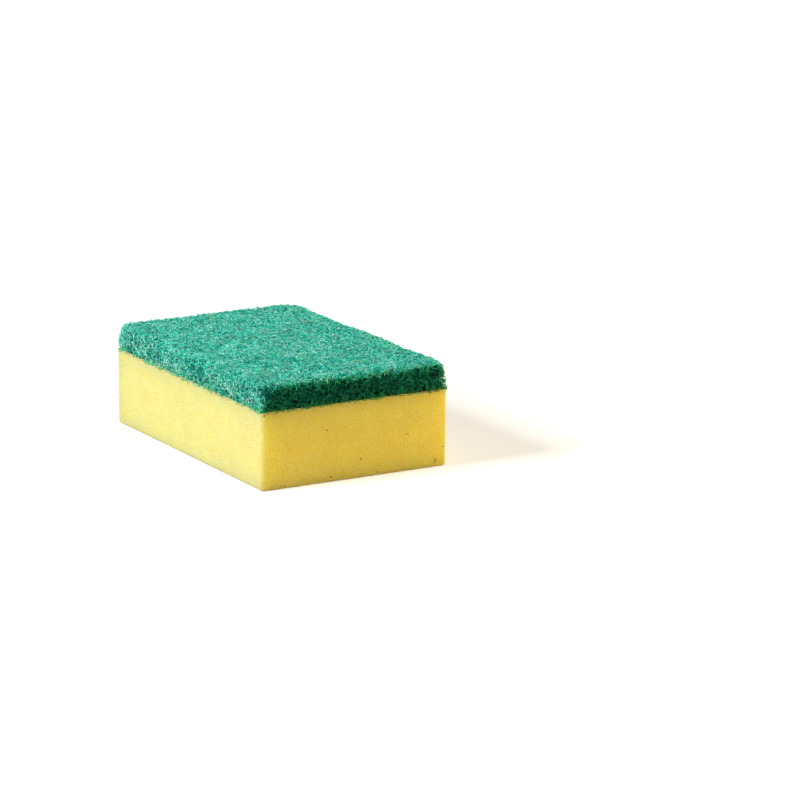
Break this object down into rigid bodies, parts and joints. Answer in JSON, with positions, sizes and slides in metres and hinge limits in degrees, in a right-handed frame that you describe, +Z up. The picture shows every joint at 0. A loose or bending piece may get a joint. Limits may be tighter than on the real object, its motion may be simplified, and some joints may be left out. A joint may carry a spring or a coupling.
{
  "type": "cleaning sponge",
  "caption": "Household cleaning sponge: a rectangular block of soft foam with a scouring pad of matted fibre bonded to its top face.",
  "frame": {"origin": "middle of the foam block's bottom face, which is also the bottom centre of the whole sponge's box", "axes": "+X along the long side, +Y along the short side, +Z up through the foam towards the scouring pad"},
  "size_m": [0.095, 0.064, 0.0326],
  "materials": {
    "foam": "yellow open-cell polyurethane foam, cut faces, fully matte",
    "scouring_fibre": "green nonwoven fibre mat, coarse and springy, with a faint sheen on the single fibres"
  },
  "bodies": {
    "root": {"foam_block": "foam", "scouring_pad": "scouring_fibre"}
  },
  "joints": []
}
